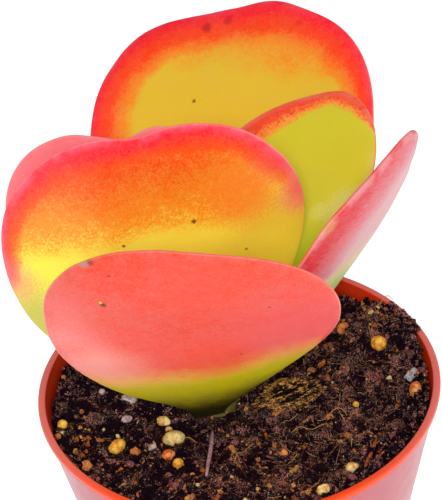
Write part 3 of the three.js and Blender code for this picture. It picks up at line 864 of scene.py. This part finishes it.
def make_pot():
    under = POT["ring_height"]
    lip_foot = RIM_HEIGHT - POT["lip_height"]
    lip_inner = RIM_RADIUS - POT["lip_width"]
    ring_inner = POT["foot"] - POT["ring_width"]
    inside = under + POT["floor"]
    bead = POT["lip_round"]
    ring_round = POT["ring_round"]
    profile = [(0, 0), (POT["disc"], 0), (POT["disc"] + under, under), (ring_inner, under),
               (ring_inner, ring_round), (ring_inner + ring_round, 0),
               (POT["foot"] - ring_round, 0), (POT["foot"], 0.5)]
    profile += [(outer_radius(h), h) for h in np.linspace(2, lip_foot, 14)]
    profile += [(RIM_RADIUS - 0.25, lip_foot + 0.05)]
    profile += arc(RIM_RADIUS - bead, lip_foot + 0.9, bead, -60, 0, 4)
    profile += arc(RIM_RADIUS - bead, RIM_HEIGHT - bead, bead, 0, 90, 6)
    profile += arc(lip_inner + bead, RIM_HEIGHT - bead, bead, 90, 180, 6)
    profile += [(inner_radius(h), h) for h in np.linspace(lip_foot - 1, inside + 1, 12)]
    profile += [(inner_radius(inside + 1) - 1, inside), (POT["disc"] + under, inside),
                (POT["disc"], POT["floor"]), (0, POT["floor"])]
    piece = turn_profile("pot_shell", profile, POT["sides"])
    tools = []
    for i in range(POT["holes"]):
        angle = 2 * math.pi * i / POT["holes"]
        spot = (*on_circle(angle, POT["hole_circle"] * MM), 5 * MM)
        tools.append(start_piece("hole", bpy.ops.mesh.primitive_cylinder_add, vertices=40,
                                 radius=POT["hole"] * MM, depth=20 * MM, location=spot))
        angle += math.pi / POT["holes"]
        spot = (*on_circle(angle, (POT["foot"] - POT["ring_width"] / 2) * MM), 0)
        notch = start_piece("notch", bpy.ops.mesh.primitive_cube_add, size=MM, location=spot,
                            rotation=(0, 0, angle))
        notch.scale = (10, POT["notch_width"], 2 * POT["notch_height"])
        tools.append(notch)
    cut_away(piece, tools)
    shade(piece, 28)
    finish_piece(piece, pot_material(), "pot_plastic", "pot")


def stem_material():
    material, tree, skin = new_material("stem skin")
    place = object_place(tree)
    patches = step_mask(grain(place, 0.35, 4, 0.6), 0.35, 0.65)
    fill(skin, {"Base Color": mix(patches, rgb(96, 100, 30), rgb(132, 104, 56)), "Roughness": 0.72,
                "Normal": bump(grain(place, 1.4, 4), 0.5, 0.4)})
    return material


def make_stem():
    profile = [(0, STEM["profile"][0][0])]
    profile += [(radius, height) for height, radius in STEM["profile"]] + [(0, STEM["tip"])]
    piece = turn_profile("stem_core", profile, 48)
    places = corners(piece) / MM
    rise = places[:, 2] - STEM["foot_height"]
    swell = 1 + 0.05 * noise_at(places, 0.3)
    places[:, 0] = places[:, 0] * swell + STEM["foot"][0] + STEM["lean_x"] * rise
    places[:, 1] = places[:, 1] * swell + STEM["foot"][1] + STEM["lean_y"] * rise
    places[:, 2] += RIM_HEIGHT
    set_corners(piece, places)
    shade(piece, 50)
    finish_piece(piece, stem_material(), "stem", "stem")


# ---- soil

def soil_detail(x, y):
    """Clods and pits on top of the soil's main shape."""
    points = np.stack([x, y, np.zeros_like(x)], 1)
    clods = noise_at(points, 0.2, 5)
    crumbs = 0.45 - np.abs(noise_at(points, 0.4, 9)) * 1.6
    ridges = 0.4 - np.abs(noise_at(points, 0.85, 21)) * 1.7
    return 0.7 * clods + 0.8 * crumbs + 0.5 * ridges - 0.3


def painted_left_shade(x, y):
    """From 0 on the right to 1 on the left, where the peat is painted darker as shade."""
    return smooth_step(15, -35, x) * smooth_step(40, 10, y)


def make_soil_paint():
    """Colour and fine relief of damp peat, from a tone of 0 in its pits to 1 on its flecks."""
    group, given, made = new_group("damp peat", ("Tone", "Fleck Share"), ("Place",),
                                   ("Dark", "Brown", "Fleck", "Speck And Glint"), ("Colour", "Height"))
    tone, share = given["Tone"], given["Fleck Share"]
    wide = minus(grain(given["Place"], 0.14, 2), 0.52)
    clumps = grain(given["Place"], 0.34, 2)
    fibre = grain(given["Place"], 1.5, 4, 0.7)
    grit = grain(given["Place"], 3.6, 2, 0.6)
    value = plus(tone, times(fibre, 1.1), clumps, times(wide, 1.3), times(grit, 0.7))
    colour = mix(step_mask(value, 1.84, 2.22), given["Dark"], given["Brown"])
    colour = mix(step_mask(tone, flip(share), flip(times(share, 0.6))), colour, given["Fleck"])
    # Pale specks on the high spots: partly pale grit, partly painted glints of the damp peat.
    speck_and_glint = times(step_mask(grit, 0.56, 0.66), step_mask(value, 1.66, 1.9), 0.8)
    fill(made, {"Colour": mix(speck_and_glint, colour, given["Speck And Glint"]), "Height": fibre})
    return group


SOIL_PAINT = make_soil_paint()


def soil_material(name, dark, brown, fleck, speck_and_glint, fleck_share, roughness):
    material, tree, skin = new_material(name)
    paint = use_group(tree, SOIL_PAINT, {
        "Place": object_place(tree), "Tone": mark(tree, "tone"), "Fleck Share": fleck_share,
        "Dark": dark, "Brown": brown, "Fleck": fleck, "Speck And Glint": speck_and_glint})
    fill(skin, {"Base Color": paint["Colour"], "Normal": bump(paint["Height"], 1.0, 0.9),
                "Roughness": roughness, "Specular IOR Level": 0.12})
    return material


PEAT = soil_material("peat", rgb(24, 0, 18), rgb(172, 88, 90), rgb(170, 104, 84), rgb(255, 214, 172),
                     0.02, 0.6)
CRUMB = soil_material("peat crumbs", rgb(22, 0, 18), rgb(140, 72, 80), rgb(224, 138, 66),
                      rgb(255, 214, 172), 0.07, 0.6)
FIBRE = soil_material("peat fibres", rgb(60, 24, 26), rgb(180, 120, 92), rgb(240, 176, 108),
                      rgb(226, 180, 140), 0.16, 0.7)
GRAIN = soil_material("pale grains", rgb(186, 96, 26), rgb(232, 170, 76), rgb(240, 214, 150),
                      rgb(240, 220, 170), 0.2, 0.7)
BARK_SKIN = soil_material("bark", rgb(26, 8, 8), rgb(140, 98, 50), rgb(236, 160, 84),
                          rgb(255, 204, 124), 0.3, 0.8)


def make_soil_bed():
    top = RIM_HEIGHT + SOIL_LEVEL
    edge = inner_radius(top) - SOIL_GAP
    piece = start_piece("soil_bed", bpy.ops.mesh.primitive_grid_add,
                        x_subdivisions=SOIL_CELLS, y_subdivisions=SOIL_CELLS, size=2)
    square = corners(piece)
    u, v = square[:, 0], square[:, 1]
    x = u * np.sqrt(1 - v * v / 2) * edge
    y = v * np.sqrt(1 - u * u / 2) * edge
    radius = np.hypot(x, y)
    fade = 1 - smooth_step(edge - 2, edge, radius)
    z = ground(x, y) + soil_detail(x, y) * (0.35 + 0.65 * fade)
    room = np.where(radius > edge - 1.5, (inner_radius(z) - SOIL_GAP) / edge, 1)
    set_corners(piece, np.stack([x * room, y * room, z], 1))
    low = POT["ring_height"] + POT["floor"] + SOIL_GAP
    edit_all()
    bpy.ops.mesh.region_to_loop()
    for height, narrower in ((low + 2, 0), (low, 1)):
        squeeze = inner_radius(height) - SOIL_GAP - narrower
        bpy.ops.mesh.extrude_region_move()
        close_edit()
        places = corners(piece)
        chosen = np.array([v.select for v in piece.data.vertices])
        ring = places[chosen]
        ring[:, :2] *= (squeeze * MM / np.hypot(ring[:, 0], ring[:, 1]))[:, None]
        ring[:, 2] = height * MM
        places[chosen] = ring
        piece.data.vertices.foreach_set("co", places.ravel())
        bpy.ops.object.mode_set(mode="EDIT")
    bpy.ops.mesh.edge_face_add()
    close_edit()
    face_out(piece)
    places = corners(piece) / MM
    x, y = places[:, 0], places[:, 1]
    # Painted shade: the tone is lower in the soil's pits and hollows and on the left, which darkens the
    # colour there.
    set_marks(piece, tone=np.clip(0.42 + 0.6 * soil_detail(x, y) - 0.16 * painted_left_shade(x, y), 0, 0.9))
    shade(piece, 60)
    finish_piece(piece, PEAT, "soil", "soil")


def strew(name, material, detail, rough, places, turns, sizes, tones):
    """A piece of many crumbs, each with its own place, turn, size and tone."""
    ball = start_ball("crumb", detail)
    shape = corners(ball)
    shape *= (1 + rough * noise_at(shape, 1.7, detail * 7))[:, None]
    faces = np.array([list(face.vertices) for face in ball.data.polygons])
    bpy.data.objects.remove(ball)
    moved = np.einsum("nij,nkj->nki", turns, shape[None, :, :] * sizes[:, None, :])
    first_corners = (np.arange(len(places)) * len(shape))[:, None, None]
    all_faces = (faces[None, :, :] + first_corners).reshape(-1, 3)
    piece = mesh_piece(name, moved + places[:, None, :], all_faces.tolist(), tones)
    finish_piece(piece, material, "soil")


def random_turns(count, flat=1.0):
    """Turn matrices: any heading, and a tumble of up to flat."""
    heading = rng.random(count) * 2 * math.pi
    pitch, roll = (rng.random((2, count)) - 0.5) * 2 * math.pi * flat
    return np.array([np.array(Matrix.Rotation(a, 3, "Z") @ Matrix.Rotation(b, 3, "Y")
                              @ Matrix.Rotation(c, 3, "X")) for a, b, c in zip(heading, pitch, roll)])


def scatter(count, reach):
    """Places on the soil, even over its disc out to reach."""
    angle = rng.random(count) * 2 * math.pi
    return on_circle(angle, reach * np.sqrt(rng.random(count)))


def pulled_in(x, y, reach):
    """Moves places that lie outside reach onto it."""
    pull = np.minimum(1, reach / np.maximum(np.hypot(x, y), 1e-6))
    return x * pull, y * pull


def on_soil(x, y, lift):
    return np.stack([x, y, ground(x, y) + soil_detail(x, y) + lift], 1)


def make_crumbs():
    for name, detail, count, low, high, rough in CRUMB_SORTS:
        x, y = scatter(count, CRUMB_REACH - high)
        size = low + (high - low) * rng.random(count) ** 2.4
        sizes = size[:, None] * (0.6 + 0.8 * rng.random((count, 3)))
        turns, tones = random_turns(count), rng.random(count) ** 1.6
        # Crumbs on the left are painted darker as shade.
        tones = np.where(tones < 0.9, tones - 0.14 * painted_left_shade(x, y), tones)
        if name == "soil_clods":
            for i, (clod_x, clod_y, *half, tone) in enumerate(NAMED_CLODS):
                x[i], y[i], size[i], tones[i] = clod_x, clod_y, half[2], tone
                sizes[i], turns[i] = half, np.eye(3)
        strew(name, CRUMB, detail, rough, on_soil(x, y, size * 0.1), turns, sizes, tones)


def make_edge_crumbs():
    """Crumbs along the wall, which climb it most at the right, and those spilled on the lip."""
    angle = rng.random(EDGE_CRUMBS) * 2 * math.pi
    size = 0.3 + 0.8 * rng.random(EDGE_CRUMBS) ** 1.6
    wall_x, wall_y = on_circle(angle, EDGE_WALL)
    pile = 1.2 + 3.6 * smooth_step(15, 45, wall_x) * smooth_step(40, 20, wall_y)
    climb = rng.random(EDGE_CRUMBS) ** 1.3
    radius = EDGE_REACH - size - 1.6 * pile * (1 - climb) * rng.random(EDGE_CRUMBS)
    places = on_soil(*on_circle(angle, radius), 0.2 + pile * climb)
    places[:, 2] = np.minimum(places[:, 2], RIM_HEIGHT - 0.2)
    spilled = SPILL["count"]
    along = np.radians(np.linspace(SPILL["start"], SPILL["end"], spilled))
    out = SPILL["inner"] + SPILL["width"] * rng.random(spilled) ** 1.7
    places[:spilled] = np.stack([*on_circle(along, out), RIM_HEIGHT + 0.5 * rng.random(spilled)], 1)
    strew("edge_crumbs", CRUMB, 1, 0.6, places, random_turns(EDGE_CRUMBS),
          size[:, None] * (0.7 + 0.4 * rng.random((EDGE_CRUMBS, 3))), rng.random(EDGE_CRUMBS) ** 1.6)


def make_grains():
    """Pale and ochre grains, mostly in clusters."""
    x, y = scatter(GRAINS, GRAIN_SPREAD)
    for i in range(0, GRAINS, 2):
        centre_x, centre_y, wide = GRAIN_CLUSTERS[(i // 2) % len(GRAIN_CLUSTERS)]
        x[i], y[i] = centre_x + wide * rng.normal() * 0.6, centre_y + wide * rng.normal() * 0.6
    x, y = pulled_in(x, y, GRAIN_REACH)
    size = 0.16 + 0.7 * rng.random(GRAINS) ** 3.2
    strew("pale_grains", GRAIN, 2, 0.7, on_soil(x, y, 0.25 + size * 0.4), random_turns(GRAINS),
          size[:, None] * (0.7 + 0.5 * rng.random((GRAINS, 3))), rng.random(GRAINS))


def make_flakes():
    x, y = scatter(FLAKES, FLAKE_SPREAD)
    long = 0.8 + 1.7 * rng.random(FLAKES) ** 2
    sizes = np.stack([long, 0.2 + 0.3 * rng.random(FLAKES), 0.12 + 0.12 * rng.random(FLAKES)], 1)
    strew("soil_flakes", FIBRE, 1, 0.4, on_soil(x, y, 0.35), random_turns(FLAKES, 0.12), sizes,
          0.9 * rng.random(FLAKES))


def tubes(name, paths, radii, tones, sides=4):
    """One mesh of thin closed tubes along paths, an array (count, steps, 3) in millimetres."""
    count, steps, _ = paths.shape
    run = np.gradient(paths, axis=1)
    run /= np.linalg.norm(run, axis=2, keepdims=True)
    side = np.cross(run, np.array([0, 0, 1.0]))
    side /= np.linalg.norm(side, axis=2, keepdims=True) + 1e-9
    top = np.cross(side, run)
    taper = np.sin(np.linspace(0.35, math.pi - 0.35, steps)) ** 0.5
    reach = radii[:, None, None] * taper[None, :, None]
    rings = [paths + reach * (math.cos(angle) * side + math.sin(angle) * top)
             for angle in 2 * math.pi * np.arange(sides) / sides]
    points = np.stack(rings, 2).reshape(count, steps * sides, 3)
    faces = [[i + k, i + (k + 1) % sides, i + sides + (k + 1) % sides, i + sides + k]
             for i in range(0, (steps - 1) * sides, sides) for k in range(sides)]
    faces += [list(range(sides))[::-1], [(steps - 1) * sides + k for k in range(sides)]]
    first_corners = range(0, count * steps * sides, steps * sides)
    all_faces = [[first + corner for corner in face] for first in first_corners for face in faces]
    piece = mesh_piece(name, points, all_faces, tones)
    face_out(piece)
    shade(piece)
    return piece


def make_fibres():
    steps = 8
    t = np.linspace(0, 1, steps)
    length = 1.5 + 8 * rng.random(FIBRES) ** 2.4
    first_x, first_y = scatter(FIBRES, FIBRE_SPREAD)
    heading = rng.random(FIBRES) * 2 * math.pi
    curl = rng.normal(size=FIBRES) * 0.4
    step_x, step_y = on_circle(heading[:, None] + curl[:, None] * t, length[:, None] / (steps - 1))
    x, y = pulled_in(first_x[:, None] + np.cumsum(step_x, 1), first_y[:, None] + np.cumsum(step_y, 1),
                     FIBRE_REACH)
    under = on_soil(x.ravel(), y.ravel(), 0)[:, 2].reshape(x.shape)
    smooth = under.mean(1, keepdims=True) * 0.5 + under * 0.5
    arch = (0.25 + 0.9 * rng.random(FIBRES) ** 2)[:, None] * np.sin(t * math.pi)
    z = np.maximum(smooth, under) + arch + 0.1
    radii = 0.05 + 0.09 * rng.random(FIBRES) ** 2.5
    # Fibres on the left are painted darker as shade.
    tones = rng.random(FIBRES) - 0.5 * painted_left_shade(first_x, first_y)
    piece = tubes("soil_fibres", np.stack([x, y, z], 2), radii, tones)
    finish_piece(piece, FIBRE, "soil")


def make_patchy_paint():
    """Two colours in patches with dark grit, as on a stone, a pellet or a dry twig."""
    group, given, made = new_group("patchy", ("Scale",), ("Place",), ("First", "Second"),
                                   ("Colour", "Height"))
    patches = grain(given["Place"], given["Scale"], 5, 0.7)
    colour = mix(step_mask(patches, 0.42, 0.6), given["First"], given["Second"])
    grit = step_mask(grain(given["Place"], times(given["Scale"], 3.0), 4, 0.7), 0.56, 0.7)
    fill(made, {"Colour": mix(times(grit, 0.7), colour, rgb(110, 52, 20)), "Height": patches})
    return group


PATCHY = make_patchy_paint()


def plain_material(name, first, second, scale, roughness, relief):
    """A rough natural finish of two colours in patches, with dark grit."""
    material, tree, skin = new_material(name)
    paint = use_group(tree, PATCHY, {"Place": object_place(tree), "Scale": scale,
                                     "First": first, "Second": second})
    fill(skin, {"Base Color": paint["Colour"], "Roughness": roughness,
                "Normal": bump(paint["Height"], relief, 0.4)})
    return material


PELLET_FINISH = {
    "whitish": plain_material("whitish grit", rgb(214, 194, 188), rgb(150, 122, 120), 0.5, 0.75, 0.6),
    "cream": plain_material("cream pellet", rgb(246, 226, 150), rgb(224, 150, 60), 0.5, 0.7, 0.6),
    "yellow": plain_material("yellow pellet", rgb(252, 208, 74), rgb(224, 126, 22), 0.5, 0.65, 0.6),
    "orange": plain_material("orange pellet", rgb(248, 172, 96), rgb(216, 88, 20), 0.5, 0.65, 0.6),
}


def make_pellets():
    for index, (x, y, half_x, half_y, half_z, turn, kind) in enumerate(PELLETS):
        node = f"pellet_{index + 1:02d}"
        piece = start_ball(node + "_stone", 4)
        ball = corners(piece)
        ball *= (1 + 0.14 * noise_at(ball, 1.1, index) + 0.09 * noise_at(ball, 3.2, index)
                 + 0.05 * noise_at(ball, 8, index))[:, None]
        ball = turned(ball * np.array([half_x, half_y, half_z]), turn)
        set_corners(piece, ball + np.array([x, y, ground(x, y) + half_z * PELLET_RISE]))
        shade(piece)
        finish_piece(piece, PELLET_FINISH[kind], "pellet", node)


def make_bark():
    piece = start_ball("bark_chunk", 6)
    ball = corners(piece)
    stretched = ball * np.array([0.7, 1.8, 1.8])
    ridges = 0.5 - np.abs(noise_at(stretched, 2.2, 4))
    ridges += 0.6 * (0.4 - np.abs(noise_at(stretched, 5, 6)))
    grit = noise_at(stretched, 12, 8)
    ball *= (0.76 + 0.34 * noise_at(ball, 1.3, 2) + 0.5 * ridges + 0.16 * grit)[:, None]
    ball = turned(ball * np.array([BARK["length"], BARK["width"], BARK["height"]]) / 2, BARK["turn"])
    x, y = BARK["x"], BARK["y"]
    set_corners(piece, ball + np.array([x, y, ground(x, y) + BARK["height"] * 0.15]))
    # Painted highlight and shade: the tone is high on the ridges and low in the pits between them, with
    # random grit on top.
    set_marks(piece, tone=np.clip(1.5 * ridges + 0.9 * grit - 0.15, 0, 1))
    shade(piece)
    finish_piece(piece, BARK_SKIN, "bark", "bark_lump")


def make_chip():
    piece = start_piece("grey_chip", bpy.ops.mesh.primitive_cube_add, size=1)
    edit_all()
    bpy.ops.mesh.subdivide(number_cuts=7)
    close_edit()
    block = corners(piece) * np.array([CHIP["length"], CHIP["width"], CHIP["height"]])
    block += 0.16 * np.stack([noise_at(block, 0.9, k) for k in (1, 5, 9)], 1)
    turn = Matrix.Rotation(math.radians(CHIP["turn"]), 3, "Z") @ Matrix.Rotation(CHIP_TIP, 3, "X")
    x, y = CHIP["x"], CHIP["y"]
    set_corners(piece, block @ np.array(turn).T + np.array([x, y, ground(x, y) + CHIP["height"] * 0.6]))
    shade(piece, 40)
    finish = plain_material("grey flake", rgb(206, 204, 208), rgb(140, 134, 140), 0.8, 0.6, 0.5)
    finish_piece(piece, finish, "chip", "chip")


def make_twigs():
    steps = 14
    t = np.linspace(0, 1, steps)
    finishes = {
        "twig_mauve": plain_material("mauve twig", rgb(196, 152, 164), rgb(150, 110, 122), 0.8, 0.8, 0.5),
        "twig_orange": plain_material("orange twig", rgb(196, 100, 44), rgb(140, 64, 30), 0.8, 0.8, 0.5),
    }
    for node, twig in TWIGS.items():
        start, end = np.array(twig["start"]), np.array(twig["end"])
        flat = start + (end - start) * t[:, None]
        ends = [ground(*p) + twig["radius"] + TWIG_RISE for p in (start, end)]
        z = ends[0] + (ends[1] - ends[0]) * t + 0.12 * np.sin(t * 7)
        path = np.stack([flat[:, 0] + 0.15 * np.sin(t * 5), flat[:, 1], z], 1)[None]
        piece = tubes(node + "_stick", path, np.array([twig["radius"]]), np.array([0.5]), sides=12)
        finish_piece(piece, finishes[node], "twig", node)


def make_named_fibres():
    steps = 12
    t = np.linspace(0, 1, steps)
    paths, tones = [], []
    for first, middle, last, arch, tone in NAMED_FIBRES:
        a, b, c = (np.array(p, dtype=float) for p in (first, middle, last))
        pull = 2 * b - (a + c) / 2
        flat = np.outer((1 - t) ** 2, a) + np.outer(2 * t * (1 - t), pull) + np.outer(t ** 2, c)
        under = ground(flat[:, 0], flat[:, 1]) + 0.5
        paths.append(np.column_stack([flat, under + arch * np.sin(t * math.pi)]))
        tones.append(TWIG_TONES[tone])
    piece = tubes("long_fibres", np.array(paths), np.full(len(paths), 0.11), np.array(tones), sides=6)
    finish_piece(piece, FIBRE, "soil")


# ---- the set

def make_camera():
    elevation, roll = math.radians(CAMERA_ELEVATION), math.radians(CAMERA_ROLL)
    back = Vector((0, -math.cos(elevation), math.sin(elevation)))
    level = Vector((1, 0, 0))
    raised = back.cross(level)
    right = level * math.cos(roll) + raised * math.sin(roll)
    up = raised * math.cos(roll) - level * math.sin(roll)
    spot = back * CAMERA_DISTANCE + right * CAMERA_SIDE + up * CAMERA_RISE + Vector((0, 0, RIM_HEIGHT))
    data = bpy.data.cameras.new("camera")
    data.lens = CAMERA_LENS
    data.sensor_width = CAMERA_SENSOR
    data.clip_start, data.clip_end = 0.01, 50
    camera = bpy.data.objects.new("camera", data)
    turn = Matrix((right, up, back)).transposed().to_4x4()
    camera.matrix_world = Matrix.Translation(spot * MM) @ turn
    bpy.context.scene.collection.objects.link(camera)
    bpy.context.scene.camera = camera


def make_light(name, spot, size, power):
    data = bpy.data.lights.new(name, "AREA")
    data.shape, data.size, data.energy = "DISK", size, power
    light = bpy.data.objects.new(name, data)
    light.location = spot
    light.rotation_euler = (Vector(LIGHT_AIM) - Vector(spot)).to_track_quat("-Z", "Y").to_euler()
    bpy.context.scene.collection.objects.link(light)


def make_set():
    """The white floor, the sky and the lights."""
    floor = start_piece("floor", bpy.ops.mesh.primitive_plane_add, size=30)
    material, _, skin = new_material("white floor")
    fill(skin, {"Base Color": (0.92, 0.92, 0.92, 1), "Roughness": 0.9,
                "Emission Color": (1, 1, 1, 1), "Emission Strength": 0.6})
    floor.data.materials.append(material)
    world = bpy.data.worlds.new("studio")
    world.use_nodes = True
    fill(world.node_tree.nodes["Background"], {"Color": (1, 1, 1, 1), "Strength": 0.3})
    bpy.context.scene.world = world
    for name, light in LIGHTS.items():
        make_light(name, *light)
    bpy.context.scene.view_settings.view_transform = "Standard"


make_camera()
make_pot()
make_stem()
for leaf_node in LEAVES:
    make_leaf(leaf_node)
make_soil_bed()
make_crumbs()
make_edge_crumbs()
make_grains()
make_flakes()
make_fibres()
make_named_fibres()
make_pellets()
make_bark()
make_chip()
make_twigs()
make_set()
